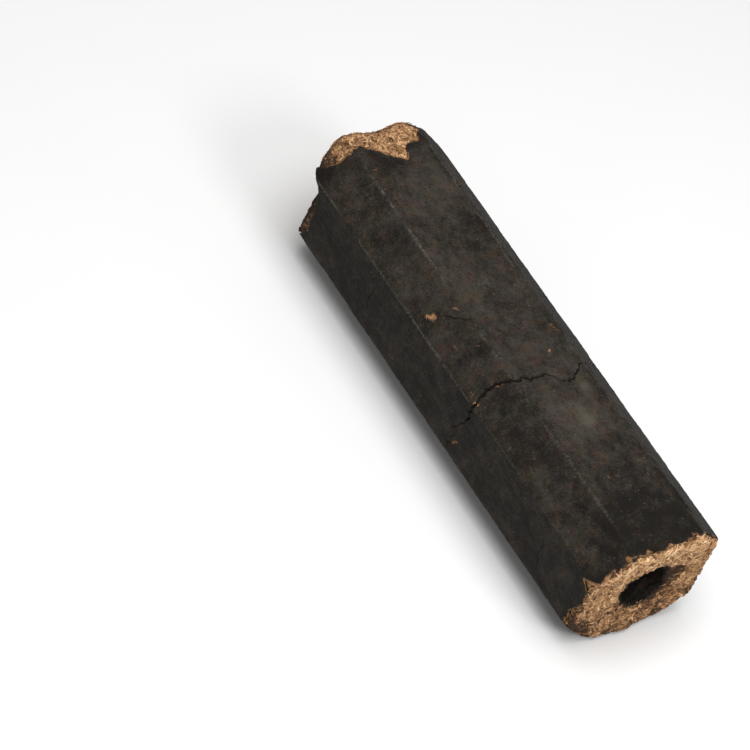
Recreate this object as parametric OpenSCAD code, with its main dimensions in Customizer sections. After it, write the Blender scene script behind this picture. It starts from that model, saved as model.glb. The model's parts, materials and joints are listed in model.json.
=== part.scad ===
// Pressed-sawdust fuel stick: a chamfered square bar with a round hole along its whole length.
// It lies along X on one of its wide flats. The origin is under the middle of that flat.
// The hot die leaves three real layers: a charred skin, a pale core and a charred bore lining.
// One transverse fracture parts the bar into a front and a rear segment that still sit together.

/* [Stick] */
// Length of the stick, end to end
stick_length = 234; // [180:1:320]
// Width across the flats, the same both ways
stick_width = 65; // [50:1:80]
// Length that each chamfer takes off a side
chamfer = 14.8; // [8:0.2:18]

/* [Bore] */
// Diameter of the hole along the middle
bore_diameter = 22; // [14:1:26]

/* [Charred layers] */
// Thickness of the charred skin
skin_thickness = 1.6; // [0.8:0.2:4]
// Thickness of the charred lining in the bore
lining_thickness = 1.2; // [0.8:0.2:3]

/* [Fracture] */
// Place of the fracture, from the middle of the stick towards the front end
fracture_position = 22; // [-40:1:40]
// How strongly the fracture zigzags
fracture_relief = 1; // [0.2:0.1:1.5]

/* [Broken edges] */
// Length of bare core where skin has broken off the front end's lower left edge
front_spall_length = 7; // [2:1:20]
// Length of bare core where skin has broken off the top of the rear end
rear_spall_length = 17; // [6:1:40]

/* [Hidden] */

half_length = stick_length / 2;
half_width = stick_width / 2;
bore_radius = bore_diameter / 2;
lining_radius = bore_radius + lining_thickness;

// How far a cutter runs past the faces that it cuts
overrun = 2;

// The fracture seen from above, from the left flat to the right flat.
// Each point is a share of half the width, and an advance in mm towards the front end.
fracture_path = [[-1.1, -3], [-0.8, -5], [-0.5, -1], [-0.2, 2], [0.05, 4], [0.2, 8],
                 [0.32, 7], [0.45, 3], [0.65, 2], [0.85, -1], [1.1, -2]];

// Outlines of the two places where the skin is missing.
// The first number is a share of the bare length, measured from the end of the stick.
// The second is a share of the width: of the height in front, and of the breadth at the rear.
front_spall_path = [[0, 0.20], [0.5, 0.24], [1, 0.36], [0.6, 0.46], [0.4, 0.55], [0.9, 0.68], [0, 0.74]];
rear_spall_path = [[0, -0.26], [0.3, -0.22], [0.4, -0.12], [0.7, -0.07], [1, 0.01], [0.9, 0.07],
                   [0.5, 0.1], [0.3, 0.16], [0, 0.2]];

// Corners of the section in the Y-Z plane, inset evenly by the given thickness
function section(inset) =
    let (h = half_width - inset, c = chamfer - inset * (2 - sqrt(2)))
    [for (corner = [[h, h - c], [h - c, h], [c - h, h], [-h, h - c],
                    [-h, c - h], [c - h, -h], [h - c, -h], [h, c - h]])
        [corner[0], corner[1] + half_width]];

module bar(inset = 0, length = stick_length) {
    rotate([90, 0, 90])
        linear_extrude(length, center = true)
            polygon(section(inset));
}

module round_bar(radius, length = stick_length) {
    translate([-length / 2, 0, half_width])
        rotate([0, 90, 0])
            cylinder(r = radius, h = length, $fn = 96);
}

// Everything in front of the fracture
module front_side() {
    fracture_line = [for (p = fracture_path)
        [fracture_position + p[1] * fracture_relief, p[0] * half_width]];
    far = half_length + overrun;
    last = len(fracture_path) - 1;
    translate([0, 0, -overrun])
        linear_extrude(stick_width + 2 * overrun)
            polygon(concat(fracture_line, [[far, fracture_line[last][1]], [far, fracture_line[0][1]]]));
}

module front_part() {
    intersection() {
        children();
        front_side();
    }
}

module rear_part() {
    difference() {
        children();
        front_side();
    }
}

// Outline of a place without skin, with its open side run past the end of the stick
function spall_outline(path, bare_length) =
    let (edge = [for (p = path) [p[0] * bare_length, p[1] * stick_width]],
         last = len(path) - 1)
    concat([[-overrun, edge[0][1]]], edge, [[-overrun, edge[last][1]]]);

// Gap in the skin on the left flat, at the front end
module front_spall() {
    translate([half_length, -half_width + skin_thickness, 0])
        rotate([90, 0, 0])
            linear_extrude(skin_thickness + overrun)
                mirror([1, 0])
                    polygon(spall_outline(front_spall_path, front_spall_length));
}

// Gap in the skin on the top flat, at the rear end
module rear_spall() {
    translate([-half_length, 0, stick_width - skin_thickness])
        linear_extrude(skin_thickness + overrun)
            polygon(spall_outline(rear_spall_path, rear_spall_length));
}

module skin() {
    difference() {
        bar();
        bar(skin_thickness, stick_length + 2 * overrun);
        front_spall();
        rear_spall();
    }
}

module core() {
    difference() {
        bar(skin_thickness);
        round_bar(lining_radius, stick_length + 2 * overrun);
    }
}

module lining() {
    difference() {
        round_bar(lining_radius);
        round_bar(bore_radius, stick_length + 2 * overrun);
    }
}

module front_char_skin() { color("#37332f") front_part() skin(); }
module rear_char_skin() { color("#2f2b28") rear_part() skin(); }
module front_core() { color("#b58a5a") front_part() core(); }
module rear_core() { color("#a67d50") rear_part() core(); }
module front_bore_lining() { color("#211a15") front_part() lining(); }
module rear_bore_lining() { color("#1b1511") rear_part() lining(); }

front_char_skin();
rear_char_skin();
front_core();
rear_core();
front_bore_lining();
rear_bore_lining();
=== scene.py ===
"""Looks for a pressed-sawdust fuel stick: charred skin, pale core of pressed shavings, charred bore.

The bar lies along X with its front end at +X. Lengths in this script are millimetres unless a name says
otherwise, and they become metres when a mesh is made. A place on the outside of the bar is given as
(around, along): around is the distance round the section from the middle of the top flat, negative to
the left (-Y), and along is X.
"""

import json
import math
from itertools import product

import bpy
import numpy as np
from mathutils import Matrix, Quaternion, Vector
from mathutils.kdtree import KDTree


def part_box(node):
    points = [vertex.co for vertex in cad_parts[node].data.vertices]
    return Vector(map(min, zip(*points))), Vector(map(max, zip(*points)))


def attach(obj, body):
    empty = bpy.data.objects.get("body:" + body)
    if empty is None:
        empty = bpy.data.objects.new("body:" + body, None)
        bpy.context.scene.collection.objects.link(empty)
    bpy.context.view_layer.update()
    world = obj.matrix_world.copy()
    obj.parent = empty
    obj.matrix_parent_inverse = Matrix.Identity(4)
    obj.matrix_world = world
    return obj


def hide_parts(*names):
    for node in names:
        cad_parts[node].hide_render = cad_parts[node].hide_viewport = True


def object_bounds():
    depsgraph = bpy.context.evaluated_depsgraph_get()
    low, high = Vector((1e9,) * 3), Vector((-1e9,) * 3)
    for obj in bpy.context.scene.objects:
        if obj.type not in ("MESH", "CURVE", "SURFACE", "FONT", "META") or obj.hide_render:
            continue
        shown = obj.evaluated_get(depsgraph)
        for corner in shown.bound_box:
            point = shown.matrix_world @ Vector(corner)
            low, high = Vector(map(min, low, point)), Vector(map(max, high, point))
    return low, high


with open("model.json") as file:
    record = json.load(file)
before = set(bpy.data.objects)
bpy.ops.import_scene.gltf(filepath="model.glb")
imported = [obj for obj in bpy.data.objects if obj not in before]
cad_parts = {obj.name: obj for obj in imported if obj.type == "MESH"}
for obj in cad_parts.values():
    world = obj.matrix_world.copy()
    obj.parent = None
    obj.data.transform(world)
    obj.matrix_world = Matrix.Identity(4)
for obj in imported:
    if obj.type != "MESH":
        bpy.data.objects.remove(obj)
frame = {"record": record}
cad_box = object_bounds()
MM = 0.001
BODY = "root"

# ---------------- sizes, from the frame

lo, hi = (np.array(corner) / MM for corner in cad_box)
WIDTH = hi[1] - lo[1]
HALF = WIDTH / 2
# The chamfer takes this share of the width off each side, as in part.scad.
CHAMFER = 0.228 * WIDTH
core_lo, core_hi = (np.array(corner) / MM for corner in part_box("front_core"))
SKIN = (WIDTH - (core_hi[1] - core_lo[1])) / 2
lining_lo, lining_hi = (np.array(corner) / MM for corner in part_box("front_bore_lining"))
LINING_RADIUS = (lining_hi[1] - lining_lo[1]) / 2
bore_mount = next(m for m in frame["record"]["mounts"] if m["kind"] == "bore")
BORE_RADIUS = bore_mount["dims"]["r_mm"]
FRONT_END = hi[0]
REAR_END = lo[0]
FLAT = WIDTH - 2 * CHAMFER
SLANT = CHAMFER * math.sqrt(2)
GIRTH = 4 * (FLAT + SLANT)

# ---------------- repeatable noise


def hashed(ix, iy, iz, seed):
    """A repeatable number from 0 to 1 for each lattice point."""
    h = (
        ix.astype(np.uint64) * np.uint64(0x9E3779B1)
        + iy.astype(np.uint64) * np.uint64(0x85EBCA77)
        + iz.astype(np.uint64) * np.uint64(0xC2B2AE3D)
        + np.uint64(seed * 0x27D4EB2F + 0x165667B1)
    ) & np.uint64(0xFFFFFFFF)
    for shift, factor in ((15, 0x2C1B3C6D), (12, 0x297A2D39), (15, 0x1)):
        h = ((h ^ (h >> np.uint64(shift))) * np.uint64(factor)) & np.uint64(0xFFFFFFFF)
    return h.astype(np.float64) / 4294967296.0


def noise(p, size, seed):
    """Smooth noise from -1 to 1 at points p, with features of that size; size may differ by axis."""
    q = p / size + 1000.0
    cell = np.floor(q).astype(np.int64)
    f = q - cell
    f = f * f * f * (f * (f * 6 - 15) + 10)
    total = 0.0
    for step in product((0, 1), repeat=3):
        near_x, near_y, near_z = (f[..., k] if step[k] else 1 - f[..., k] for k in range(3))
        corner = hashed(*(cell[..., k] + step[k] for k in range(3)), seed)
        total = total + near_x * near_y * near_z * corner
    return 2 * total - 1


def layered(p, size, seed, layers=3, fall=0.5):
    """Noise with finer layers on top, from about -1 to 1."""
    size = np.asarray(size, float)
    total = sum(fall**k * noise(p, size / 2.1**k, seed + 17 * k) for k in range(layers))
    return total / sum(fall**k for k in range(layers))


def flakes(p, size, seed):
    """Cells like pressed flakes: (a number from 0 to 1 for the cell, distance to its edge in cells)."""
    q = p / size + 1000.0
    cell = np.floor(q).astype(np.int64)
    nearest = np.full(q.shape[:-1], 9.0)
    second = np.full(q.shape[:-1], 9.0)
    value = np.zeros(q.shape[:-1])
    for step in product((-1, 0, 1), repeat=3):
        at = [cell[..., k] + step[k] for k in range(3)]
        d2 = sum((at[k] + hashed(*at, seed + k) - q[..., k]) ** 2 for k in range(3))
        closer = d2 < nearest
        second = np.where(closer, nearest, np.minimum(second, d2))
        value = np.where(closer, hashed(*at, seed + 3), value)
        nearest = np.where(closer, d2, nearest)
    return value, np.sqrt(second) - np.sqrt(nearest)


def rise(x, start, end):
    """0 before start, 1 after end, smooth between. end may be below start."""
    t = np.clip((x - start) / (end - start), 0, 1)
    return t * t * (3 - 2 * t)


def follow(points, x, ease=1.5):
    """The height at x of a line through points in order of x, with its corners eased over ease each way."""
    xs, ys = zip(*points)
    steps = np.linspace(-ease, ease, 5)
    return sum(np.interp(x + step, xs, ys) for step in steps) / len(steps)


# ---------------- section of the bar

CORNER_SPANS = np.cumsum([0] + [FLAT, SLANT] * 4) - FLAT / 2


def sharp_section(inset, around):
    """(Y, Z, normal Y, normal Z) round the octagon inset evenly, with sharp corners.

    around is measured on the octagon that isn't inset, so it stays the same along a facet's normal.
    """
    h = HALF - inset
    c = np.maximum(CHAMFER - inset * (2 - math.sqrt(2)), 0)
    place = (around + FLAT / 2) % GIRTH - FLAT / 2
    facet = np.clip(np.searchsorted(CORNER_SPANS, place, side="right") - 1, 0, 7)
    span = np.where(facet % 2 == 0, FLAT, SLANT)
    t = (place - CORNER_SPANS[facet]) / span - 0.5
    turn = facet * math.pi / 4
    out_y, out_z = np.sin(turn), np.cos(turn)
    reach = np.where(facet % 2 == 0, h, (2 * h - c) / math.sqrt(2))
    size = np.where(facet % 2 == 0, 2 * (h - c), c * math.sqrt(2))
    y = out_y * reach + out_z * t * size
    z = out_z * reach - out_y * t * size
    return y, z, out_y, out_z


def section(inset, around, arris=0.9):
    """The same with its corners eased over arris each way."""
    steps = np.linspace(-arris, arris, 7)
    y, z, ny, nz = (
        sum(parts) / len(steps) for parts in zip(*(sharp_section(inset, around + step) for step in steps))
    )
    size = np.hypot(ny, nz)
    return y, z + HALF, ny / size, nz / size


# ---------------- the breaks

# The fracture: (around, along). It bows towards the front end on the right half of the top flat.
FRACTURE = [
    (-112, 21), (-85, 17), (-70, 15), (-58, 16), (-48, 20), (-38, 20), (-28, 17), (-19, 21), (-8, 24),
    (-3, 24), (5, 30), (9, 30), (14, 25), (24, 23), (40, 19), (50, 22), (95, 24), (112, 21),
]
# How far the fracture gapes at the surface: widest over the left chamfer and the top
GAPE = [
    (-112, 0.3), (-75, 0.3), (-70, 0.8), (-50, 0.5), (-44, 1.5), (-30, 2), (-4, 1.8), (12, 1.3), (22, 0.5),
    (112, 0.3),
]
# Where the two segments meet, along the bar
MIDDLE = 22.0

# The broken edges at the two ends: (around, how far the edge stands past the end of the CAD bar).
# In front the skin is proud along the top, and it has broken off at the top and bottom of the left face.
FRONT_EDGE = [
    (-112, -4), (-90, -4.5), (-65, -6), (-56, -2), (-48, -1), (-42, -5), (-38, 1), (-34, 3), (-28, 1),
    (-20, 3), (4, 3), (20, 1.5), (44, -1), (60, -2.5), (85, -3), (112, -4),
]
# The same for the rim of the wood, which stands out of the skin or lies back in it
FRONT_RIM = [
    (-112, 0), (-92, -2), (-80, -2), (-60, -1), (-40, 0), (-33, 3), (-10, 4.5), (8, 4), (40, 1), (80, -0.5),
    (104, -2), (112, 0),
]
# At the rear a long tongue of skin is gone from the top, and the upper left corner is broken back.
REAR_EDGE = [
    (-112, -1), (-85, -2), (-64, -9), (-42, -9), (-36, 1), (-25, -6.5), (-14, -3), (-8, -7), (-1, -16),
    (4, -17), (7, -9), (14, -7), (18, -2), (26, 0.5), (38, -6), (60, 0.5), (90, -4.5), (100, 0.5),
    (112, -1),
]
REAR_RIM = [
    (-112, -0.5), (-74, -2.5), (-50, -5), (-40, -8), (-35, 1.5), (-22, 6), (-10, 5), (-2, 2.5), (12, 4.5),
    (18, 0.5), (30, 0), (38, -5), (60, -0.5), (112, -0.5),
]

# Where the wood at the rim is scorched: (around, how much)
FRONT_SCORCH = [(-112, 0.1), (-75, 0.3), (-50, 0.1), (-40, 0), (30, 0), (80, 0.3), (112, 0.1)]
REAR_SCORCH = [
    (-112, 0.3), (-60, 0.7), (-32, 0.9), (-26, 0.1), (14, 0), (20, 0.8), (36, 0.8), (45, 0.4), (112, 0.3),
]


def jagged(around, seed, coarse, fine):
    """A small jag along a broken edge; it closes on itself, being read from a circle."""
    turn = around / GIRTH * 2 * math.pi
    ring = np.stack([np.cos(turn), np.sin(turn), np.zeros_like(turn)], -1) * GIRTH / (2 * math.pi)
    return coarse * noise(ring, 2.6, seed) + fine * noise(ring, 1.1, seed + 1)


def fracture_at(around):
    return follow(FRACTURE, around, 0.5) + jagged(around, 11, 1.0, 0.8)


def gape_at(around):
    return follow(GAPE, around) * (1 + 0.5 * jagged(around, 14, 0.6, 0.5))


def front_edge_at(around):
    return FRONT_END + follow(FRONT_EDGE, around) + jagged(around, 21, 0.7, 0.45)


def rear_edge_at(around):
    return REAR_END - follow(REAR_EDGE, around) + jagged(around, 31, 1.1, 0.6)


# Fine cracks that only score the skin. Each has a middle along the bar, a course, and how far it gapes.
# In the course, each point is (around, how far it is from the middle).
FINE_CRACKS = [
    (-18, 0.7, [(-29, -6), (-25, -3), (-23, 1), (-19, 5), (-16, 5)]),
    (-9, 0.7, [(-3, -7), (-1, -6), (5, -5), (8, -4)]),
    (-95, 0.8, [(-27, -3), (-21, -1), (-15, 0), (-13, 2)]),
    (-58, 0.3, [(-64, 2), (-58, 0), (-52, 1), (-47, -2), (-42, -1)]),
    (-75, 0.3, [(36, -2), (44, 1), (52, 0), (60, 3), (70, 1)]),
    (-36, 0.45, [(58, 3), (66, 0), (74, 1), (84, -3), (96, -2)]),
    (48, 0.4, [(46, -2), (55, 1), (62, 0), (70, 3)]),
    (70, 0.35, [(84, 3), (94, 0), (104, 1)]),
    (84, 0.3, [(-66, 2), (-60, 0), (-54, 1), (-48, -2)]),
    (-80, 0.35, [(88, 2), (96, 0), (104, -2)]),
]

# Chips in the skin: (around, along, half width, half length, turn in degrees, depth, bareness).
# At no turn the length runs along the bar.
NAMED_CHIPS = [
    (-31, -25, 1.15, 2.7, 48, 0.2, 0.5),
    (-32, -26, 0.6, 1.3, 48, 0.15, 0.7),
    (-20.5, -21, 0.35, 1.5, 35, 0.2, 0.5),
    (-37, 19.5, 0.8, 1.8, 40, 0.4, 0.8),
    (-24, 20, 0.3, 1.5, 62, 0.3, 0.45),
    (-65, 18, 0.6, 3.0, 50, 0.3, 0.42),
    (6, 13.5, 0.35, 1.7, 70, 0.15, 0.55),
    (15, 3, 1.4, 4.0, 20, 0.1, 0.2),
    (-20.5, 118.5, 1.0, 1.6, 30, 0.15, 0.42),
    (-18, 119, 0.5, 2.2, 70, 0.15, 0.36),
]
# Small chips are scattered all over. Each of their values lies in its own range.
SMALL_CHIPS = 46
SMALL_CHIP_RANGES = [
    (-GIRTH / 2, GIRTH / 2), (REAR_END + 14, FRONT_END - 10), (0.2, 0.45), (0.6, 1.8), (10, 75), (0.1, 0.25),
    (0.2, 0.4),
]
chip_rng = np.random.default_rng(8)
CHIPS = NAMED_CHIPS + [
    tuple(chip_rng.uniform(low, high) for low, high in SMALL_CHIP_RANGES) for _ in range(SMALL_CHIPS)
]

# How pale (above 0) or dark (below 0) each facet is, from the top flat on to the right and round. The left
# face and the upper right chamfer are darkened as painted shade.
FACET_TONES_AND_SHADE = np.array([0, -0.55, -0.1, 0, 0.1, 0, -0.55, -0.15])
# Paler rubbed places and darker scorched ones: (around, along, radius, strength)
SMUDGES = [
    (2, 51, 8, 1.0), (10, 36, 5, 0.7), (1, 43, 5, 0.4), (-8, 40, 8, 0.3), (2, -30, 16, 0.3),
    (-4, -70, 18, 0.2), (-12, -10, 9, 0.3), (0, 98, 20, -1.0), (-14, 110, 14, -0.6), (10, 112, 12, -0.6),
    (2, -50, 14, -0.3),
    (-12, -104, 10, -0.3), (6, 76, 14, -0.4), (14, -98, 9, -0.3), (70, 30, 22, 0.3), (90, -40, 18, 0.3),
    (60, -70, 16, -0.4), (112, 70, 18, 0.3),
]


def nearest_way_round(difference):
    """The shorter way round the bar, with its sign."""
    return (difference + GIRTH / 2) % GIRTH - GIRTH / 2


# ---------------- meshes


def linked(name, data):
    """A new object in the scene."""
    made = bpy.data.objects.new(name, data)
    bpy.context.scene.collection.objects.link(made)
    return made


def set_attribute(mesh, key, values):
    """Gives each vertex of a mesh its own number under that key."""
    layer = mesh.attributes.new(key, "FLOAT", "POINT")
    layer.data.foreach_set("value", values.astype(np.float32).ravel())


def grid_quads(rows, columns):
    """The faces of a grid that closes on itself both ways, as corners in the flattened grid."""
    r = np.arange(rows)[:, None]
    c = np.arange(columns)[None, :]
    r_next, c_next = (r + 1) % rows, (c + 1) % columns
    corners = [r * columns + c, r * columns + c_next, r_next * columns + c_next, r_next * columns + c]
    return np.stack(corners, -1).reshape(-1, 4)


def grid_uv(rows, columns, row_heights):
    """The texture corners of the same faces. row_heights say how much of the height each row takes."""
    height = np.concatenate([[0], np.cumsum(row_heights)]) / np.sum(row_heights)
    r = np.arange(rows)[:, None]
    c = np.arange(columns)[None, :]
    left, right = (c / columns + 0.0 * r, (c + 1) / columns + 0.0 * r)
    low, high = (height[r] + 0.0 * c, height[r + 1] + 0.0 * c)
    corners = [(left, low), (right, low), (right, high), (left, high)]
    return np.stack([np.stack(corner, -1) for corner in corners], 2).reshape(-1, 4, 2)


def grid_mesh(name, points, attributes, row_heights):
    """A closed mesh over a grid of points (rows, columns, 3) that closes on itself both ways.

    Attributes are arrays of the grid's shape, or broadcast to it.
    """
    rows, columns = points.shape[:2]
    quads = grid_quads(rows, columns)
    uv = grid_uv(rows, columns, row_heights)
    flat = points.reshape(-1, 3)
    a, b, d = flat[quads[:, 0]], flat[quads[:, 1]], flat[quads[:, 3]]
    if np.einsum("ij,ij->i", a, np.cross(b, d)).sum() < 0:
        quads = quads[:, ::-1]
        uv = uv[:, ::-1]
    mesh = bpy.data.meshes.new(name)
    mesh.vertices.add(len(flat))
    mesh.vertices.foreach_set("co", (flat * MM).astype(np.float32).ravel())
    mesh.loops.add(quads.size)
    mesh.loops.foreach_set("vertex_index", quads.astype(np.int32).ravel())
    mesh.polygons.add(len(quads))
    mesh.polygons.foreach_set("loop_start", np.arange(0, quads.size, 4, dtype=np.int32))
    mesh.polygons.foreach_set("use_smooth", np.ones(len(quads), bool))
    mesh.uv_layers.new(name="OFBake").data.foreach_set("uv", uv.astype(np.float32).ravel())
    for key, values in attributes.items():
        set_attribute(mesh, key, np.broadcast_to(values, (rows, columns)))
    mesh.update()
    mesh.validate()
    return linked(name, mesh)


def add(piece, material, slot, *nodes):
    """Finishes a piece: its material, its body, and the CAD nodes that it stands for, which it hides. slot
    is not used.
    """
    piece.data.materials.append(material)
    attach(piece, BODY)
    if nodes:
        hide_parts(*nodes)
    return piece


def spread(start, end, step, fine_step, fine_reach):
    """Row places from start to end, a step apart, and closer within fine_reach of both ends."""
    span = abs(end - start)
    near = [0.0]
    while near[-1] < fine_reach:
        share = near[-1] / fine_reach
        near.append(near[-1] + fine_step + (step - fine_step) * share**2)
    near = np.array(near)
    middle = np.linspace(near[-1], span - near[-1], max(2, int((span - 2 * near[-1]) / step)))[1:-1]
    places = np.concatenate([near, middle, (span - near)[::-1]])
    return start + np.sign(end - start) * places


# ---------------- skin

COLUMNS = 336
AROUND = np.linspace(-GIRTH / 2, GIRTH / 2, COLUMNS, endpoint=False)[None, :]
# Shares of the skin's thickness at the two rows that turn in over an edge
TURN_IN = [0.35, 0.7]
# The extra rows beside each fine crack, from its middle
CRACK_ROWS = np.array([-0.7, -0.4, -0.2, -0.08, 0, 0.08, 0.2, 0.4, 0.7])


def warp(base, around, anchors):
    """Bends the rows so that they follow broken edges: base moved by each anchor's offset near its place.

    An anchor is (place, offset for each column, reach). The offset fades out over the reach.
    """
    along = base + np.zeros_like(around)
    for place, offset, reach in anchors:
        along = along + offset * (1 - rise(np.abs(base - place), 0, reach))
    return along


def fine_crack_at(crack, around):
    """(offset from the crack's middle, gape) round the bar. Both fade out past the crack's two tips."""
    middle, gape, course = crack
    first, last = course[0][0], course[-1][0]
    inside = rise(around, first - 5, first + 1) * rise(around, last + 5, last - 1)
    offset = (follow(course, around, 0.5) + jagged(around, int(middle) + 200, 0.5, 0.3)) * inside
    cut = rise(around, first, first + 4) * rise(around, last, last - 4)
    return offset, gape * cut * (0.7 + 0.6 * noise(np.stack([around] * 3, -1), 4.0, int(middle) + 300))


def chips_at(around, along):
    """(depth, bareness) of the chips at each place."""
    depth, bare = np.zeros_like(along), np.zeros_like(along)
    wobble_at = np.stack([around + along * 0, along + around * 0, along * 0 + around * 0], -1)
    wobble = 0.45 * noise(wobble_at, 1.3, 41) + 0.25 * noise(wobble_at, 0.6, 42)
    for at, middle, wide, long, turn, deep, bareness in CHIPS:
        across = nearest_way_round(around - at)
        lengthwise = along - middle
        cos, sin = math.cos(math.radians(turn)), math.sin(math.radians(turn))
        q = np.hypot((across * cos - lengthwise * sin) / wide, (across * sin + lengthwise * cos) / long)
        inside = 1 - rise(q + wobble, 0.55, 1.15)
        depth = np.maximum(depth, deep * inside)
        bare = np.maximum(bare, bareness * (1 - rise(q + wobble, 0.75, 1.3)))
    return depth, bare


def facet_tone_and_shade(around, blend=3.5):
    """The facets' tones, each running into the next over blend each way; on the left face and the upper
    right chamfer they are painted shade.
    """
    steps = np.linspace(-blend, blend, 9)
    places = ((around + step + FLAT / 2) % GIRTH - FLAT / 2 for step in steps)
    facets = ((np.searchsorted(CORNER_SPANS, place, side="right") - 1) % 8 for place in places)
    return sum(FACET_TONES_AND_SHADE[facet] for facet in facets) / len(steps)


def tone_and_shade_at(around, along):
    """How pale (above 0) or scorched (below 0) the skin is, with the painted shade of the darkened facets in
    it.
    """
    tone_and_shade = facet_tone_and_shade(around) + np.zeros_like(along)
    for at, middle, radius, strength in SMUDGES:
        q2 = (nearest_way_round(around - at) ** 2 + (along - middle) ** 2) / radius**2
        tone_and_shade = tone_and_shade + strength * np.exp(-1.5 * q2)
    return tone_and_shade


def streak_at(around, along, points):
    """Pale rubbed lines along the arrises, broken up along their length."""
    line = np.exp(-((corner_distance(around) / 0.42) ** 2))
    cloud = noise(points, np.array([14, 9, 9]), 71) + 0.5 * noise(points, np.array([3, 9, 9]), 72)
    return line * rise(cloud, -0.45, 0.35) * (1 - 0.6 * rise(along, -10, 30))


def corner_distance(around):
    """Distance round the section to the nearest arris."""
    gaps = [np.abs(nearest_way_round(around - corner)) for corner in CORNER_SPANS[:8]]
    return np.min(gaps, axis=0)


def skin_relief(points, around):
    """How far the skin's surface stands out from the section, negative for inwards."""
    warped = points + 1.6 * np.stack([noise(points, 4.0, 50 + k) for k in range(3)], -1)
    value, border = flakes(warped, np.array([4.2, 2.1, 2.1]), 60)
    out = -0.22 + 0.26 * layered(points, 42, 51, 2) + 0.09 * layered(points, 8, 53, 2)
    out = out + 0.13 * (value - 0.5) - 0.05 * (1 - rise(border, 0, 0.16))
    out = out + 0.045 * layered(points, 1.7, 55, 2)
    out = out - 0.07 * rise(noise(points, np.array([55, 0.9, 0.9]), 57), 0.35, 0.75)
    worn = 1 - rise(corner_distance(around), 0.3, 2.6)
    out = out - worn * (0.08 + 0.75 * rise(noise(points, np.array([8, 6, 6]), 58), 0.3, 0.85))
    out = out - worn * 0.18 * np.abs(noise(points, np.array([2.2, 6, 6]), 59))
    return out


def skin_rows(start, end, cracks):
    """The rows' places along the bar, their shares of the thickness inwards, and their texture heights.

    The rows run along the outside to the end, over the broken edge there, back along the inside, and out
    again up the wall of the fracture. The last value is how many of them are outside.
    """
    way = 1 if end > start else -1
    outer = spread(start, end, 0.72, 0.16, 3.0)
    for middle, _, _ in cracks:
        keep = np.abs(outer - middle) > 0.9
        outer = way * np.sort(way * np.concatenate([outer[keep], middle + CRACK_ROWS]))
    inner = np.linspace(end, start, 16)
    base = np.concatenate([outer, [end] * 2, inner, [start] * 2])
    inward = np.concatenate([np.zeros(len(outer)), TURN_IN, np.ones(len(inner)), TURN_IN[::-1]])
    heights = np.concatenate([np.abs(np.diff(outer)), [0.8] * 3, [0.6] * (len(inner) - 1), [0.8] * 3])
    return base[:, None], inward[:, None], heights, len(outer)


def drawn_back(along, base, inward, start, end, way, past_start, seed):
    """Draws the skin back from the fracture by half of its gape, and undercuts its broken end."""
    wall = np.where(base == start, inward, 0)
    ragged = np.where(base == end, inward, 0)
    along = along + way * gape_at(AROUND) / 2 * (1 - 0.6 * wall) * (1 - rise(past_start, 0, 4))
    return along - way * ragged * (0.25 + 0.5 * np.abs(jagged(AROUND, seed, 0.8, 0.6)))


def worn_skin(points, around, along, past_start, past_end, way, seed):
    """(relief, bareness) of the skin: its own relief, its chips, and the wear along its two breaks."""
    depth, bare = chips_at(around, along)
    relief = skin_relief(points, around) - depth
    relief = relief - 0.14 * np.exp(-past_start / 0.45) - 0.22 * np.exp(-past_end / 0.7)
    lift = 0.22 * noise(points, 7.0, seed + 5) * np.exp(-past_start / 5)
    return relief + way * np.abs(lift), bare


def cut_cracks(relief, bare, base, cuts):
    """The same with the fine cracks cut in. A cut is (place, offset, gape)."""
    for place, _, gape in cuts:
        off_centre = np.abs(base - place)
        groove = np.clip(1 - off_centre / np.maximum(gape * 0.55, 1e-3), 0, 1)
        shoulder = np.exp(-off_centre / 0.35) * rise(gape, 0, 0.2)
        relief = relief - 1.1 * groove * rise(gape, 0.05, 0.2) - 0.1 * shoulder
        bare = np.maximum(bare, 0.35 * groove * rise(gape, 0.1, 0.3))
    return relief, bare


def bare_edges(bare, points, around, past_start, past_end, scorch, seed):
    """The bareness with a fringe along the broken end, and a browned stretch beside the fracture."""
    fringe = noise(points, 2.2, seed + 9) * 0.5 + noise(points, 6.0, seed + 8) * 0.6
    fringe_bare = 0.5 * (1 - 0.7 * follow(scorch, around))
    bare = np.maximum(bare, fringe_bare * rise(fringe - past_end / 2.6, -0.7, 0.3))
    browned = rise(around, -36, -30) * rise(around, -12, -18) * 0.32
    return np.maximum(bare, browned * np.exp(-past_start / 0.6) * rise(fringe, -0.2, 0.5))


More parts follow.
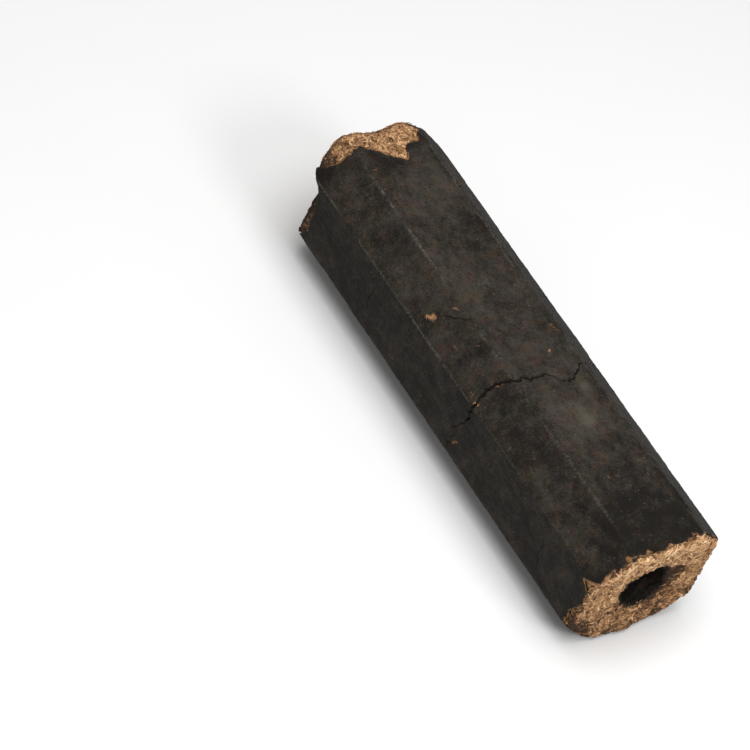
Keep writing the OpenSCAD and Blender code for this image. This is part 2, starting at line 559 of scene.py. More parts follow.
def make_skin(name, node, start, end, start_edge, end_edge, reach, scorch, cracks, seed):
    """One segment's charred skin, from the fracture (start) to the end of the bar (end).

    start_edge and end_edge are where its two breaks lie, and reach is how far from the end its rows bend.
    """
    way = 1 if end > start else -1
    base, inward, heights, outside = skin_rows(start, end, cracks)
    cuts = [(crack[0], *fine_crack_at(crack, AROUND)) for crack in cracks]
    anchors = [(start, start_edge - start, 16.0), (end, end_edge - end, reach)]
    along = warp(base, AROUND, anchors + [(place, offset, 19.0) for place, offset, _ in cuts])
    past_start = np.abs(along - along[0])
    past_end = np.abs(along - along[outside - 1])
    along = drawn_back(along, base, inward, start, end, way, past_start, seed)

    y, z, _, _ = section(0.0, AROUND + along * 0)
    points = np.stack([along, y, z], -1)
    relief, bare = worn_skin(points, AROUND, along, past_start, past_end, way, seed)
    relief, bare = cut_cracks(relief, bare, base, cuts)
    thick = 0.5 + (SKIN - 0.5) * rise(past_end, 1.5, 9) + 0.35
    inset = -relief * (1 - inward) + inward * thick
    y, z, _, _ = section(inset, AROUND + along * 0)
    points = np.stack([along, y, z], -1)

    bare = bare_edges(bare, points, AROUND, past_start, past_end, scorch, seed)
    in_end = (base == end) & (inward > 0)
    bare = np.where(in_end, 0.1, np.where(inward > 0, 0.0, bare))
    points[..., 2] = np.maximum(points[..., 2], 0)
    looks = {
        "bare": bare,
        # The tone holds the painted shade of the darkened left face and upper right chamfer.
        "tone_and_shade": tone_and_shade_at(AROUND, along) - 0.35 * (1 - rise(past_end, 2, 9)),
        "streak": streak_at(AROUND, along, points),
    }
    return add(grid_mesh(name, points, looks, heights), char_material, "char_skin", node)


# ---------------- core

FACE_ROWS = 62
SIDE_ROWS = 46
BREAK_ROWS = 26
BORE_ROWS = 12


def face_relief(points, seed):
    """Roughness of a broken face of pressed shavings."""
    warped = points + 1.2 * np.stack([noise(points, 3.0, seed + k) for k in range(3)], -1)
    value, border = flakes(warped, np.array([1.2, 2.6, 1.5]), seed + 5)
    out = 0.9 * layered(points, 11, seed + 10, 2) + 0.55 * noise(points, 3.6, seed + 12)
    out = out + 0.55 * (value - 0.5) - 0.3 * (1 - rise(border, 0, 0.22))
    return out + 0.15 * noise(points, 0.9, seed + 13)


def surface_normals(points):
    """Normals of a grid that closes along each row, pointing away from the bar's solid side."""
    down = np.gradient(points, axis=0)
    across = (np.roll(points, -1, axis=1) - np.roll(points, 1, axis=1)) / 2
    n = np.cross(across, down)
    return n / np.maximum(np.linalg.norm(n, axis=-1, keepdims=True), 1e-9), np.linalg.norm(n, axis=-1)


def hollow_at(hollows, y, z):
    """How far the face is broken back at (y, z). A hollow is (y, z, half width, half height, depth)."""
    return sum(
        deep * np.exp(-1.5 * (((y - at_y) / wide) ** 2 + ((z - at_z) / high) ** 2))
        for at_y, at_z, wide, high, deep in hollows
    )


def mouth_chip_at(around, place):
    """How much of the bore's mouth is chipped out, from 0 to 1."""
    return np.exp(-((nearest_way_round(around - place) / 24) ** 2))


def core_mouth(mouth_chip, seed):
    """Round the bore's mouth: its direction (Y, Z), its radius, and how much of it is chipped out."""
    rim_y, rim_z, _, _ = section(1.0, AROUND)
    angle = np.arctan2(rim_y, rim_z - HALF)
    ragged = jagged(AROUND, seed + 70, 0.5, 0.35)
    chipped = mouth_chip_at(AROUND, mouth_chip)
    radius = LINING_RADIUS + 0.1 + 1.4 * np.abs(ragged) + 1.8 * chipped
    return np.sin(angle), np.cos(angle), radius, chipped


def core_face(end, way, rim, scorch, hollows, mouth, seed):
    """The end face in rows from the bore's mouth to the rim: its points, and how dark each lies, which is
    painted shade in its sinks, its hollows and its lower part, darker round the mouth, most in its chipped
    part, and scorch at the rim.
    """
    hole_y, hole_z, radius, chipped = mouth
    t = np.linspace(0, 1, FACE_ROWS)[:, None]
    rim_inset = 0.9 + 0.5 * np.abs(jagged(AROUND, seed + 80, 0.9, 0.5))
    rim_y, rim_z, _, _ = section(rim_inset, AROUND)
    y = hole_y * radius * (1 - t) + rim_y * t
    z = HALF + hole_z * radius * (1 - t) + (rim_z - HALF) * t
    from_mouth = np.hypot(y, z - HALF) - radius
    from_rim = np.hypot(y - rim_y, z - rim_z)
    rim_x = end + way * follow(rim, AROUND)
    centre_x = end + way * (0.06 * (z - HALF) + 0.02 * y - 0.4)
    plane = centre_x + (rim_x - centre_x) * rise(t, 0.25, 0.9)
    flat = np.stack([plane, y, z], -1)
    rough = face_relief(flat, seed) * (0.35 + 0.65 * rise(from_rim, 0, 3.0))
    rough = rough - 0.8 * (1 - rise(from_mouth, 0, 1.6)) * (0.6 + 0.6 * noise(flat, 3.0, seed + 3))
    rough = rough - 1.5 * (1 - rise(from_rim, 0, 3.2)) ** 2
    hollow = hollow_at(hollows, y, z)
    # Painted shade: darker where the relief sinks and in the hollows.
    deep = 0.5 * rise(-rough, 0.1, 1.5) + 0.8 * rise(hollow, 0.3, 1.8)
    deep = deep + 0.35 * (1 - rise(from_mouth, 0.3, 3)) * (0.5 + 0.5 * noise(flat, 5.0, seed + 4))
    deep = np.clip(deep, 0, 1) + 1.2 * chipped * (1 - rise(from_mouth, 0.6, 3.2))
    # Painted shade: darker towards the lower part of the face. The rim is darker by its scorch.
    deep = deep + 0.3 * rise(z, HALF + 2, HALF - 24) + follow(scorch, AROUND) * rise(t, 0.6, 1)
    return np.stack([plane + way * (rough - hollow), y, z], -1), deep


def core_side(start_x, way, skin_edge, scorch, fracture_side, seed):
    """The outside in rows from the rim to the fracture: its points, their darkness and their bareness. The
    darkness is scorch, with painted shade where the surface sinks and soot-dark painted shade where the skin
    covers it.

    Most of the rows lie within the first stretch, where the skin is broken off.
    """
    s = np.linspace(0, 1, SIDE_ROWS + 1)[1:, None]
    stop_x = fracture_at(AROUND) + fracture_side * 0.1
    stretch = 30.0
    split = 0.72
    x = np.where(
        s < split,
        start_x - way * stretch * s / split,
        start_x - way * stretch + (stop_x - start_x + way * stretch) * (s - split) / (1 - split),
    )
    y, z, _, _ = section(0.0, AROUND + x * 0)
    bare = rise(way * (x - skin_edge(AROUND)), -0.6, 0.4)
    rough = 0.5 * np.abs(face_relief(np.stack([x, y, z], -1), seed + 30))
    broken_corner = 1.6 * (1 - rise(way * (start_x - x), 0, 3.5)) ** 2
    inset = 1.0 + bare * (rough + broken_corner * 0.5) + (1 - bare) * 0.45
    y, z, _, _ = section(inset, AROUND + x * 0)
    # Painted shade: darker where the surface sinks. The scorch is darkening of its own.
    deep = 0.1 + 0.28 * rise(rough, 0.2, 0.8) + follow(scorch, AROUND)
    # Painted shade: under the skin, seen only through the cracks, the core is painted soot dark.
    deep = np.where(bare > 0.1, np.clip(deep, 0, 1), 1.6)
    return np.stack([x, y, z], -1), deep, bare


def core_break(outer_ring, mouth, fracture_side):
    """The wall of the fracture in rows from the outside in to the bore."""
    hole_y, hole_z, _, _ = mouth
    b = np.linspace(0, 1, BREAK_ROWS + 1)[1:, None]
    inner_y, inner_z = hole_y * LINING_RADIUS, HALF + hole_z * LINING_RADIUS
    y = outer_ring[..., 1] * (1 - b) + inner_y * b
    z = outer_ring[..., 2] * (1 - b) + inner_z * b
    flat = np.stack([y * 0 + MIDDLE, y, z], -1)
    x = fracture_at(AROUND) * (1 - b) + (MIDDLE + 1.5 * layered(flat, 9, 90, 3)) * b
    return np.stack([x + fracture_side * 0.12, y, z], -1)


def core_bore(start_x, stop_x, end, way, mouth):
    """The wall behind the lining in rows from the fracture to the mouth, where it flares."""
    hole_y, hole_z, radius, _ = mouth
    g = np.linspace(0, 1, BORE_ROWS + 1)[1:-1, None]
    x = start_x * (1 - g) + stop_x * g
    flare = (radius - LINING_RADIUS) * rise(way * (x - end), -5, 0)
    return np.stack([x, hole_y * (LINING_RADIUS + flare), HALF + hole_z * (LINING_RADIUS + flare)], -1)


def make_core(name, node, end, rim, skin_edge, scorch, hollows, mouth_chip, fracture_side, seed):
    """One segment's core. Its rows run from the bore over the end face to the rim, along the outside
    to the fracture, in over the fracture to the bore, and back along the bore.

    Returns the part of its surface that shows, for the shavings.
    """
    way = 1 if end > MIDDLE else -1
    mouth = core_mouth(mouth_chip, seed)
    face, face_shade_and_scorch = core_face(end, way, rim, scorch, hollows, mouth, seed)
    side, side_shade_and_scorch, side_bare = core_side(face[-1:, :, 0], way, skin_edge, scorch, fracture_side, seed)
    wall = core_break(side[-1:], mouth, fracture_side)
    bore = core_bore(wall[-1:, :, 0], face[:1, :, 0], end, way, mouth)

    points = np.concatenate([face, side, wall, bore])
    # Painted shade: the fracture wall, seen through the crack, and the wall behind the lining are painted
    # dark.
    hidden_shade = [np.full(wall.shape[:2], 0.6), np.full(bore.shape[:2], 0.9)]
    deep = np.clip(np.concatenate([face_shade_and_scorch, side_shade_and_scorch, *hidden_shade]), 0, 1.6)
    heights = np.repeat([0.6, 0.45, 0.2, 0.2], [len(face), len(side), len(wall), len(bore)])
    warped = points + 1.5 * noise(points, 3.0, seed + 41)[..., None]
    value, _ = flakes(warped, np.array([1.0, 2.4, 1.3]), seed + 40)
    piece = grid_mesh(name, points, {"deep": deep, "tint": 0.2 + 0.4 * value}, heights)
    add(piece, core_material, "pressed_core", node)

    shown = np.concatenate([face, side])
    normals, area = surface_normals(shown)
    facing = np.sign((normals[:FACE_ROWS, :, 0] * way).mean())
    crowding = np.concatenate([np.ones(face.shape[:2]), 2.6 * side_bare])
    return shown, normals * facing, area * crowding, deep[: len(shown)]


# ---------------- shavings

SLIVER_LENGTH = 2.4
SLIVER_WIDTH = 0.55
# Where a sliver is shaped along its length, as shares of it
STATIONS = np.array([-0.5, -0.18, 0.18, 0.5])
# The range of its width at each station, as shares of its full width
TAPERS = [(0.2, 0.7), (0.85, 1), (0.85, 1), (0.15, 0.7)]
# How far apart two slivers lie in their fibre texture
SLIVER_SHIFT = 3.7


def draped(spine, surface, lift):
    """The spines of the slivers laid on the surface, each station lifted off it by its own amount."""
    points, normals = (values.reshape(-1, 3) for values in surface[:2])
    tree = KDTree(len(points))
    for index, point in enumerate(points):
        tree.insert(point, index)
    tree.balance()
    flat = spine.reshape(-1, 3)
    nearest = np.array([tree.find(point)[1] for point in flat])
    normal = normals[nearest]
    gap = flat - points[nearest]
    level = gap - np.einsum("ij,ij->i", gap, normal)[:, None] * normal
    size = np.linalg.norm(level, axis=1, keepdims=True)
    level = level * np.minimum(1, 0.45 / np.maximum(size, 1e-6))
    laid = points[nearest] + level + lift.reshape(-1)[:, None] * normal
    return laid.reshape(spine.shape)


def pulled_in(centre, tips):
    """Centres moved so that the slivers' tips stay inside the bar's outline and out of its bore."""
    for tip in tips:
        worst = np.full(len(centre), 0.0)
        push = np.zeros((len(centre), 2))
        for facet in range(8):
            out = np.array([math.sin(facet * math.pi / 4), math.cos(facet * math.pi / 4)])
            reach = HALF if facet % 2 == 0 else (2 * HALF - CHAMFER) / math.sqrt(2)
            over = tip[:, 1] * out[0] + (tip[:, 2] - HALF) * out[1] - (reach - 0.7)
            push = np.where((over > worst)[:, None], -over[:, None] * out, push)
            worst = np.maximum(worst, over)
        centre = centre + np.concatenate([np.zeros((len(centre), 1)), push], 1)
        radius = np.hypot(tip[:, 1], tip[:, 2] - HALF)
        short = np.maximum(0, LINING_RADIUS + 0.1 - radius) / np.maximum(radius, 1e-6)
        centre = centre + np.stack([0 * short, tip[:, 1] * short, (tip[:, 2] - HALF) * short], -1)
    return centre


def sliver_places(surface, count, rng):
    """Where the slivers lie: (row, column) on the surface, centre, normal, and the way each one runs."""
    points, normals, area, _ = surface
    chance = area.ravel() / area.sum()
    pick = rng.choice(chance.size, count, p=chance)
    row, column = np.unravel_index(pick, area.shape)
    centre = points[row, column] + rng.normal(0, 0.15, (count, 3))
    normal = normals[row, column] + rng.normal(0, 0.13, (count, 3))
    normal /= np.linalg.norm(normal, axis=1, keepdims=True)
    loose = rng.normal(0, 1, (count, 3))
    lengthwise = loose - (loose * normal).sum(1, keepdims=True) * normal
    lengthwise /= np.linalg.norm(lengthwise, axis=1, keepdims=True)
    return row, column, centre, normal, lengthwise


def sliver_shapes(on_face, rng):
    """Each sliver's length, width, thickness, curl, bend, height above the surface, and taper."""
    count = len(on_face)
    length = np.clip(rng.lognormal(math.log(SLIVER_LENGTH), 0.45, count), 0.9, 6.0)
    width = np.clip(rng.lognormal(math.log(SLIVER_WIDTH), 0.4, count), 0.22, 1.3)
    thick = rng.uniform(0.1, 0.26, count)
    curl = rng.normal(-0.01, 0.035, count)
    bend = rng.normal(0, 0.12, count)
    sink = rng.uniform(-0.12, 0.12, count) + 0.03
    taper = np.stack([rng.uniform(low, high, count) for low, high in TAPERS], 1)
    length, width = length * np.where(on_face, 1, 0.75), width * np.where(on_face, 1, 0.85)
    return length, width, thick, curl, bend, sink, taper


def sliver_vertices(surface, centre, normal, lengthwise, shapes):
    """The corners of the slivers, four at each station, laid on the surface."""
    length, width, thick, curl, bend, sink, taper = shapes
    across = np.cross(normal, lengthwise)
    reach = lengthwise * length[:, None] / 2
    centre = pulled_in(centre, (centre + reach, centre - reach))
    along = STATIONS[None, :] * length[:, None]
    lift = curl[:, None] * (4 * STATIONS[None, :] ** 2 - 0.4) * length[:, None] + sink[:, None]
    sway = bend[:, None] * 4 * STATIONS[None, :] ** 2 * length[:, None]
    spine = centre[:, None, :] + along[..., None] * lengthwise[:, None, :]
    spine = spine + sway[..., None] * across[:, None, :]
    spine = draped(spine, surface, lift)
    half = (width[:, None] * taper / 2)[..., None] * across[:, None, :]
    depth = (thick[:, None] * (0.5 + 0.5 * taper) / 2)[..., None] * normal[:, None, :]
    corners = [spine - half - depth, spine + half - depth, spine + half + depth, spine - half + depth]
    return np.stack(corners, 2).reshape(-1, 3)


def sliver_quads(count):
    """The faces of that many slivers: an end, four sides between each two stations, and the other end."""
    last = 4 * (len(STATIONS) - 1)
    quads = [[0, 3, 2, 1]]
    for ring in range(0, last, 4):
        for c in range(4):
            quads.append([ring + c, ring + (c + 1) % 4, ring + 4 + (c + 1) % 4, ring + 4 + c])
    quads.append([last, last + 1, last + 2, last + 3])
    return (np.array(quads)[None] + (np.arange(count) * (last + 4))[:, None, None]).reshape(-1, 4)


def sliver_uv(count):
    """The texture corners of the same faces. Each sliver takes a small square of the texture."""
    side = math.ceil(math.sqrt(count))
    index = np.arange(count)
    faces = 2 + 4 * (len(STATIONS) - 1)
    corner = np.stack([index % side, index // side], -1)[:, None, None, :] / side
    square = np.array([[0.2, 0.2], [0.8, 0.2], [0.8, 0.8], [0.2, 0.8]]) / side
    return np.broadcast_to(corner + square, (count, faces, 4, 2))


def make_shavings(name, surface, count, rng):
    """Slivers of wood pressed into a surface: closed, thin, a little curled, each with its own tint, paler
    high on the end face as painted light and darker as painted shade where the surface below is dark.
    """
    points, _, _, deep = surface
    row, column, centre, normal, lengthwise = sliver_places(surface, count, rng)
    on_face = row < FACE_ROWS
    shapes = sliver_shapes(on_face, rng)
    vertices = sliver_vertices(surface, centre, normal, lengthwise, shapes)
    mesh = bpy.data.meshes.new(name)
    mesh.from_pydata((vertices * MM).tolist(), [], sliver_quads(count).tolist())

    length, width = shapes[:2]
    per_sliver = 4 * len(STATIONS)
    sunk_shade = deep[row, column]
    # Painted light: slivers high on the end face are paler. Painted shade: they take on the darkness of the
    # surface below them.
    painted_top_light = 0.03 + 0.20 * rise(points[row, column, 2], HALF + 10, HALF + 26) * on_face
    tint = np.clip(rng.beta(2.2, 2.2, count) + painted_top_light - 0.25 * sunk_shade - 0.04 * ~on_face, 0, 1)
    set_attribute(mesh, "tint", np.repeat(tint, per_sliver))
    set_attribute(mesh, "deep", np.repeat(np.where(sunk_shade > 1, sunk_shade, sunk_shade * 0.8), per_sliver))
    lengthwise_mm = np.tile(np.repeat(STATIONS, 4), count) * np.repeat(length, per_sliver)
    set_attribute(mesh, "lengthwise", lengthwise_mm)
    side_of_corner = np.tile([-0.5, 0.5, 0.5, -0.5], len(STATIONS) * count)
    apart = np.repeat(np.arange(count) * SLIVER_SHIFT, per_sliver)
    set_attribute(mesh, "crosswise", side_of_corner * np.repeat(width, per_sliver) + apart)
    mesh.uv_layers.new(name="OFBake").data.foreach_set("uv", sliver_uv(count).astype(np.float32).ravel())
    mesh.update()
    return add(linked(name, mesh), sliver_material, "pressed_core")


# ---------------- bore lining


def make_lining(name, node, end, hollows, mouth_chip, fracture_side, seed):
    """One segment's charred bore wall, ragged at the mouth, which keeps behind the face's hollows."""
    way = 1 if end > MIDDLE else -1
    columns = 132
    turn = np.linspace(-math.pi, math.pi, columns, endpoint=False)[None, :]
    around = turn / math.pi * GIRTH / 2
    inside = spread(MIDDLE, end, 0.95, 0.3, 3.0)
    outside = np.linspace(end, MIDDLE, 14)
    base = np.concatenate([inside, outside])[:, None]
    outer = np.concatenate([np.zeros(len(inside)), np.ones(len(outside))])[:, None]
    mouth_y, mouth_z = np.sin(turn) * LINING_RADIUS, HALF + np.cos(turn) * LINING_RADIUS
    recess = 0.9 + 0.7 * jagged(around, seed, 0.8, 0.6) + hollow_at(hollows, mouth_y, mouth_z)
    recess = recess + 4 * mouth_chip_at(around, mouth_chip)
    x = base - way * recess * rise(way * (base - end), -12, 0)
    x = x + fracture_side * 0.12 * (1 - rise(np.abs(base - MIDDLE), 0, 3))
    wall = np.stack([x, np.sin(turn) * BORE_RADIUS + 0 * x, np.cos(turn) * BORE_RADIUS + 0 * x], -1)
    rough = 0.28 * layered(wall, 6, seed + 1, 3) + 0.16 * noise(wall, np.array([2.2, 6, 6]), seed + 3)
    rough = rough + 0.5 * (1 - rise(way * (end - base), 0, 3)) * np.abs(noise(wall, 2.0, seed + 4))
    radius = np.where(outer > 0, LINING_RADIUS + 0.35, BORE_RADIUS + 0.15 + rough)
    points = np.stack([x, np.sin(turn) * radius, HALF + np.cos(turn) * radius], -1)
    bare = 0.05 * (1 - rise(way * (end - base), 1.0, 5)) * (0.5 + 0.5 * noise(wall, 2.5, seed + 6))
    weights = np.where(outer[:, 0] > 0, 0.3, 1.0)
    piece = grid_mesh(name, points, {"bare": bare, "tone_and_shade": 0.0, "streak": 0.0}, weights)
    return add(piece, lining_material, "bore_lining", node)


# ---------------- materials


def rgb(r, g, b):
    return (r, g, b, 1.0)


class Shader:
    """Builds the nodes of one material. Its methods return output sockets. Texture sizes are in mm."""

    def __init__(self, name):
        self.material = bpy.data.materials.new(name)
        self.material.use_nodes = True
        self.tree = self.material.node_tree
        self.tree.nodes.clear()
        place = self.node("TexCoord").outputs["Object"]
        self.place = self.node("VectorMath", {0: place, 1: (1 / MM,) * 3}, operation="MULTIPLY").outputs[0]

    def node(self, kind, inputs=None, **settings):
        node = self.tree.nodes.new("ShaderNode" + kind)
        for key, value in settings.items():
            setattr(node, key, value)
        for key, value in (inputs or {}).items():
            if isinstance(value, bpy.types.NodeSocket):
                self.tree.links.new(value, node.inputs[key])
            else:
                node.inputs[key].default_value = value
        return node

    def math(self, operation, a, b=0.5, clamp=False):
        return self.node("Math", {0: a, 1: b}, operation=operation, use_clamp=clamp).outputs[0]

    def plus(self, a, b):
        return self.math("ADD", a, b)

    def minus(self, a, b):
        return self.math("SUBTRACT", a, b)

    def times(self, a, b):
        return self.math("MULTIPLY", a, b)

    def remap(self, value, from_low, from_high, to_low=0.0, to_high=1.0):
        inputs = {"Value": value, 1: from_low, 2: from_high, 3: to_low, 4: to_high}
        return self.node("MapRange", inputs, interpolation_type="SMOOTHSTEP").outputs[0]

    def mix(self, factor, a, b, blend="MIX"):
        return self.node("Mix", {0: factor, 6: a, 7: b}, data_type="RGBA", blend_type=blend).outputs[2]

    def attribute(self, name):
        return self.node("Attribute", attribute_name=name).outputs["Fac"]

    def moved(self, shift, stretch):
        """The place, shifted so that textures differ, with features grown by the stretch on each axis."""
        scale = tuple(1 / factor for factor in stretch)
        scaled = self.node("VectorMath", {0: self.place, 1: scale}, operation="MULTIPLY").outputs[0]
        return self.node("VectorMath", {0: scaled, 1: (shift, shift * 0.7, -shift)}).outputs[0]

    def noise(self, size, shift, detail=2.0, stretch=(1.0, 1.0, 1.0), roughness=0.5, distortion=0.0):
        inputs = {"Vector": self.moved(shift, stretch), "Scale": 1 / size, "Detail": detail}
        inputs.update({"Roughness": roughness, "Distortion": distortion})
        return self.node("TexNoise", inputs).outputs[0]

    def cells(self, size, shift, stretch):
        """(distance to the cell's point, a random number for the cell)."""
        node = self.node("TexVoronoi", {"Vector": self.moved(shift, stretch), "Scale": 1 / size})
        return node.outputs["Distance"], self.node("SeparateColor", {0: node.outputs["Color"]}).outputs[0]

    def ramp(self, value, stops):
        node = self.node("ValToRGB", {0: value})
        elements = node.color_ramp.elements
        while len(elements) < len(stops):
            elements.new(0.5)
        for element, (place, colour) in zip(elements, stops):
            element.position = place
            element.color = colour
        return node.outputs[0]

    def finish(self, colour, roughness, height, bump_mm, specular):
        bump = self.node("Bump", {"Height": height, "Distance": bump_mm * MM, "Strength": 1.0}).outputs[0]
        inputs = {"Base Color": colour, "Roughness": roughness, "Normal": bump}
        inputs["Specular IOR Level"] = specular
        surface = self.node("BsdfPrincipled", inputs)
        self.node("OutputMaterial", {"Surface": surface.outputs[0]})
        return self.material


STRAW = rgb(0.90, 0.64, 0.38)
TAN = rgb(0.52, 0.30, 0.145)
BROWN = rgb(0.21, 0.105, 0.048)
UMBER = rgb(0.050, 0.030, 0.019)
# Soot black of deep scorch, also used as painted shade where the core lies under the skin.
SOOT_AND_SHADE = rgb(0.010, 0.008, 0.006)

# The stretch of the skin's fine textures, which run across the bar
ACROSS = (0.8, 1.5, 1.0)
# Faint tints of the skin: (patch size, shift, tint, how much)
TINTS = [
    (5.5, 15.3, rgb(1.30, 0.98, 0.90), 0.8),
    (7.5, 25.1, rgb(0.97, 1.06, 0.90), 0.9),
    (4.2, 35.7, rgb(0.90, 0.98, 1.16), 0.8),
]


def char_ground(s, tone_and_shade, dark, light):
    """The skin's colour, clouded and grained from dark to light and faintly tinted; its tone holds the
    painted shade of the darkened facets.

    Returns it with the mixture that it was made from and the grain.
    """
    broad = s.noise(22, 3.1, 3)
    cloudy = s.noise(7, 8.3, 6, (1.1, 1.0, 1.0), 0.72)
    grain = s.noise(0.9, 1.7, 5, ACROSS, 0.72)
    mixed = s.plus(s.times(broad, 0.22), s.times(cloudy, 0.44))
    mixed = s.plus(mixed, s.times(grain, 0.34))
    # The tone darkens the colour, partly as painted shade on the darkened facets.
    mixed = s.plus(mixed, s.times(tone_and_shade, 0.12))
    colour = s.mix(s.remap(mixed, 0.375, 0.645), dark, light)
    for size, shift, tint, strength in TINTS:
        where = s.remap(s.noise(size, shift, 5, ACROSS, 0.68), 0.47, 0.64)
        tinted = s.mix(1.0, colour, tint, "MULTIPLY")
        colour = s.mix(s.times(where, strength), colour, tinted)
    rubbed = s.remap(s.plus(tone_and_shade, s.times(s.minus(cloudy, 0.5), 2.2)), 0.35, 1.5)
    return s.mix(s.times(rubbed, 0.75), colour, rgb(0.088, 0.082, 0.064)), mixed, grain


def char_marks(s, colour, grain):
    """(colour, height) with the pale streaks on the arrises, curly fibres, pale specks and dark pits."""
    streak = s.times(s.attribute("streak"), s.remap(grain, 0.40, 0.56))
    colour = s.mix(s.times(streak, 0.85), colour, rgb(0.125, 0.118, 0.096))
    curl = s.math("ABSOLUTE", s.minus(s.noise(1.5, 51.0, 1, ACROSS, 0.5, 1.6), 0.5))
    curly = s.times(s.remap(curl, 0.035, 0.0), s.remap(s.noise(6, 61.0, 3), 0.50, 0.62))
    colour = s.mix(s.times(curly, 0.42), colour, rgb(0.105, 0.088, 0.066))
    near, pick = s.cells(1.7, 11.0, ACROSS)
    ragged = s.plus(near, s.times(s.minus(s.noise(0.5, 13.0), 0.5), 0.6))
    speck = s.times(s.remap(ragged, 0.20, 0.08), s.remap(pick, 0.78, 0.98))
    colour = s.mix(s.times(speck, 0.5), colour, rgb(0.17, 0.14, 0.105))
    pit, pit_pick = s.cells(2.2, 41.0, ACROSS)
    ragged_pit = s.plus(pit, s.times(s.minus(s.noise(0.7, 43.0), 0.5), 0.9))
    dark_pit = s.times(s.remap(ragged_pit, 0.26, 0.12), s.remap(pit_pick, 0.74, 0.8))
    colour = s.mix(s.times(dark_pit, 0.6), colour, rgb(0.009, 0.008, 0.007))
    height = s.plus(s.times(grain, 1.2), s.times(curly, 0.12))
    height = s.minus(height, s.times(dark_pit, 0.5))
    return colour, s.plus(height, s.times(speck, 0.2))


def flaked(s, colour, bare):
    """The colour, going through umber and brown to tan wood where the skin is flaked off."""
    fibre = s.noise(0.5, 31.0, 3, ACROSS, 0.7)
    worn = s.times(s.minus(fibre, 0.5), s.remap(bare, 0.02, 0.3, 0.0, 1.1))
    bare_here = s.plus(bare, worn)
    wood = s.ramp(bare_here, [(0.16, UMBER), (0.45, BROWN), (0.74, TAN), (0.98, STRAW)])
    return s.mix(s.remap(bare_here, 0.06, 0.3), colour, wood)


def char_look(name, dark, light):
    """Smooth graphite-grey charred skin, which goes through umber to bare tan wood where it is flaked."""
    s = Shader(name)
    bare = s.attribute("bare")
    colour, mixed, grain = char_ground(s, s.attribute("tone_and_shade"), dark, light)
    colour, height = char_marks(s, colour, grain)
    colour = flaked(s, colour, bare)
    roughness = s.math("ADD", s.remap(mixed, 0.3, 0.7, 0.62, 0.78), s.times(bare, 0.3), clamp=True)
    return s.finish(colour, roughness, height, 0.16, 0.08)


def wood_look(name, stretch, in_slivers):
    """Pressed shavings, straw to brown by tint, and dark where it lies deep: painted shade with scorch,
    going to soot black past a depth of one.

    in_slivers lays the fibres along each sliver, by the places that the mesh stores.
    """
    s = Shader(name)
    tint, deep = s.attribute("tint"), s.attribute("deep")
    patchy = s.noise(6, 2.2, 3, (1.0, 1.0, 1.0), 0.6)
    if in_slivers:
        places = {0: s.attribute("lengthwise"), 1: s.attribute("crosswise")}
        s.place = s.node("CombineXYZ", places).outputs[0]
    fibre = s.noise(0.22, 7.7, 3, stretch, 0.65)
    mixed = s.plus(s.times(tint, 0.75), s.times(s.minus(fibre, 0.5), 0.55))
    mixed = s.plus(mixed, s.times(s.minus(patchy, 0.5), 0.55))
    # Painted shade, with scorch: darker by the depth value.
    mixed = s.minus(mixed, s.times(deep, 0.45))
    colour = s.ramp(mixed, [(0.0, UMBER), (0.16, BROWN), (0.42, TAN), (0.82, STRAW)])
    # Painted shade, with scorch: soot black where the depth value passes one.
    colour = s.mix(s.remap(deep, 1.0, 1.5), colour, SOOT_AND_SHADE)
    height = s.plus(fibre, s.times(patchy, 0.3))
    return s.finish(colour, 0.85, height, 0.12, 0.12)


char_material = char_look("charred_skin", rgb(0.0095, 0.0080, 0.0064), rgb(0.0510, 0.0425, 0.0335))
lining_material = char_look("charred_bore", rgb(0.006, 0.005, 0.004), rgb(0.016, 0.012, 0.009))
core_material = wood_look("pressed_wood", (1.6, 1.0, 1.0), in_slivers=False)
sliver_material = wood_look("wood_sliver", (9.0, 1.0, 1.0), in_slivers=True)

# ---------------- the stick

# Hollows in the end faces: (y, z, half width, half height, depth)
FRONT_HOLLOWS = [(15.5, 34, 8, 7, 2.7), (8, 22, 8, 7, 3.3), (-3, 19, 5, 4, 1.0), (-24, 18, 4, 6, 0.8)]
REAR_HOLLOWS = [(-12, 44, 8, 7, 1.2), (6, 20, 9, 6, 1.6)]
# Where the mouth of the bore is chipped out, as a place round the section
FRONT_MOUTH_CHIP = 98
REAR_MOUTH_CHIP = -60

make_skin(
    "front_skin", "front_char_skin", MIDDLE, FRONT_END, fracture_at(AROUND), front_edge_at(AROUND),
    reach=16, scorch=FRONT_SCORCH, cracks=[c for c in FINE_CRACKS if c[0] > MIDDLE], seed=400,
)
make_skin(
    "rear_skin", "rear_char_skin", MIDDLE, REAR_END, fracture_at(AROUND), rear_edge_at(AROUND),
    reach=34, scorch=REAR_SCORCH, cracks=[c for c in FINE_CRACKS if c[0] < MIDDLE], seed=500,
)
front_surface = make_core(
    "front_wood", "front_core", FRONT_END, FRONT_RIM, front_edge_at, FRONT_SCORCH, FRONT_HOLLOWS,
    FRONT_MOUTH_CHIP, fracture_side=1, seed=600,
)
rear_surface = make_core(
    "rear_wood", "rear_core", REAR_END, REAR_RIM, rear_edge_at, REAR_SCORCH, REAR_HOLLOWS,
    REAR_MOUTH_CHIP, fracture_side=-1, seed=700,
)
shavings_per_end = 3200
make_shavings("front_shavings", front_surface, shavings_per_end, np.random.default_rng(5))
make_shavings("rear_shavings", rear_surface, shavings_per_end, np.random.default_rng(6))
make_lining("front_lining", "front_bore_lining", FRONT_END, FRONT_HOLLOWS, FRONT_MOUTH_CHIP, 1, 800)
make_lining("rear_lining", "rear_bore_lining", REAR_END, REAR_HOLLOWS, REAR_MOUTH_CHIP, -1, 900)

# ---------------- floor, light and camera


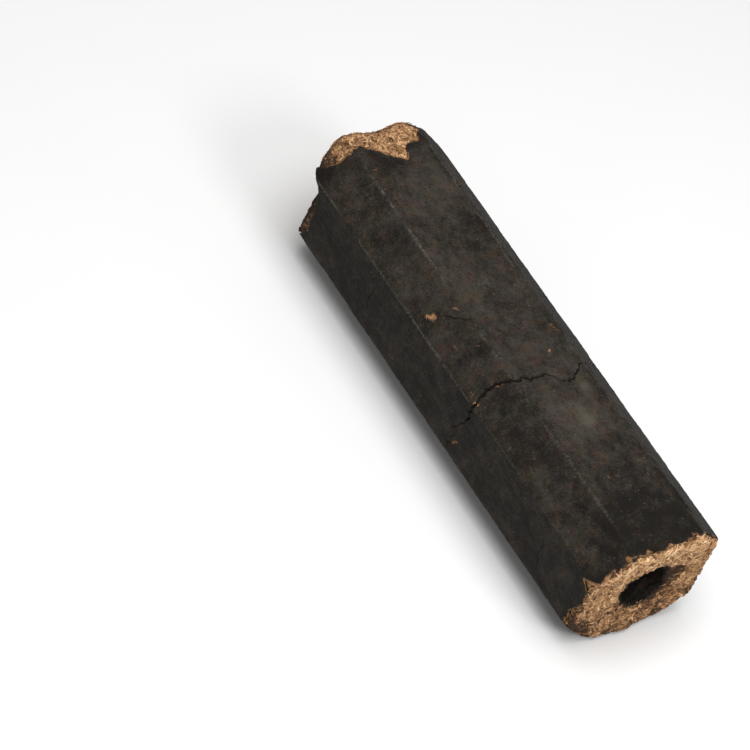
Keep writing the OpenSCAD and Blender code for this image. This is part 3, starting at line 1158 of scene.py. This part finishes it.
def floor_look():
    s = Shader("floor")
    colour = s.mix(s.noise(60, 1.0, 3), rgb(0.79, 0.79, 0.79), rgb(0.81, 0.81, 0.81))
    return s.finish(colour, 0.9, s.noise(0.6, 2.0, 3), 0.02, 0.2)


def area_light(name, place, aim, size, power):
    data = bpy.data.lights.new(name, "AREA")
    data.shape = "DISK"
    data.size = size
    data.energy = power
    lamp = linked(name, data)
    lamp.location = place
    lamp.rotation_euler = (Vector(aim) - Vector(place)).to_track_quat("-Z", "Y").to_euler()


bpy.ops.mesh.primitive_plane_add(size=8, location=(0, 0, 0))
floor = bpy.context.object
floor.name = "studio_floor"
floor.data.materials.append(floor_look())

world = bpy.data.worlds.new("studio")
world.use_nodes = True
background = world.node_tree.nodes["Background"]
background.inputs["Color"].default_value = rgb(1, 1, 1)
background.inputs["Strength"].default_value = 0.40
bpy.context.scene.world = world
area_light("overhead", (0.15, -0.10, 1.1), (0, 0, 0), 0.9, 10.5)
area_light("key", (1.05, 0.1, 1.0), (0, 0, 0.03), 0.5, 6.5)

# The camera. Its distance is in metres, and its azimuth is measured from -Y towards +X.
CAMERA_AIM = Vector((-20.1, -51.9, 32.5)) * MM
CAMERA_DISTANCE = 1.801
CAMERA_AZIMUTH = math.radians(43.15)
CAMERA_ELEVATION = math.radians(48.0)
CAMERA_ROLL = math.radians(21.1)
toward = Vector((
    math.cos(CAMERA_ELEVATION) * math.sin(CAMERA_AZIMUTH),
    -math.cos(CAMERA_ELEVATION) * math.cos(CAMERA_AZIMUTH),
    math.sin(CAMERA_ELEVATION),
))
camera_data = bpy.data.cameras.new("camera")
camera_data.lens = 205.3
camera_data.sensor_width = 36
camera_data.clip_end = 20
camera = linked("camera", camera_data)
camera.location = CAMERA_AIM + toward * CAMERA_DISTANCE
camera.rotation_mode = "QUATERNION"
camera.rotation_quaternion = (-toward).to_track_quat("-Z", "Y") @ Quaternion((0, 0, 1), CAMERA_ROLL)
bpy.context.scene.camera = camera
bpy.context.scene.view_settings.view_transform = "Standard"
